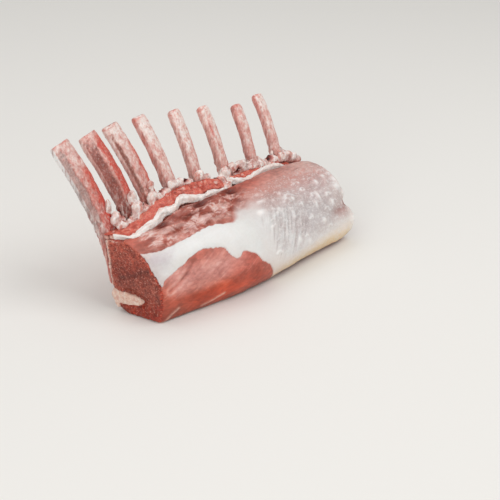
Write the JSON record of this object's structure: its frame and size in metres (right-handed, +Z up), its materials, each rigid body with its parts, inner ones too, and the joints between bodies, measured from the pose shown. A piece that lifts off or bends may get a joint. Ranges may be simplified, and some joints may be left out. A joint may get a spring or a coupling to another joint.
{
  "type": "rack of lamb",
  "caption": "Raw French-trimmed rack of lamb: a loin under a white fat cover, lying on its cut side, with a row of bare curved ribs.",
  "frame": {"origin": "middle of the whole rack's box, on the surface that it rests on", "axes": "+X along the rack from the shoulder-end cut to the loin-end cut, -Y towards the fat side, +Y towards the rib side that the bare ribs curve over, +Z up"},
  "size_m": [0.2186, 0.1012, 0.12],
  "materials": {
    "lean": "moist raw lean meat, dull on the cut faces and shiny on the skinned ones",
    "fat": "smooth white fat with a soft satin shine",
    "bone": "scraped raw bone, pale pink and mottled",
    "tissue": "ragged moist meat and fat between the ribs"
  },
  "bodies": {
    "root": {"fat_cover": "fat", "fat_seam": "fat", "flank_fat_far": "fat", "flank_fat_near": "fat", "flank_muscle_far": "lean", "flank_muscle_near": "lean", "intercostal_1": "tissue", "intercostal_2": "tissue", "intercostal_3": "tissue", "intercostal_4": "tissue", "intercostal_5": "tissue", "intercostal_6": "tissue", "intercostal_7": "tissue", "intercostal_8": "tissue", "loin": "lean", "rib_1": "bone", "rib_2": "bone", "rib_3": "bone", "rib_4": "bone", "rib_5": "bone", "rib_6": "bone", "rib_7": "bone", "rib_8": "bone"}
  },
  "joints": []
}
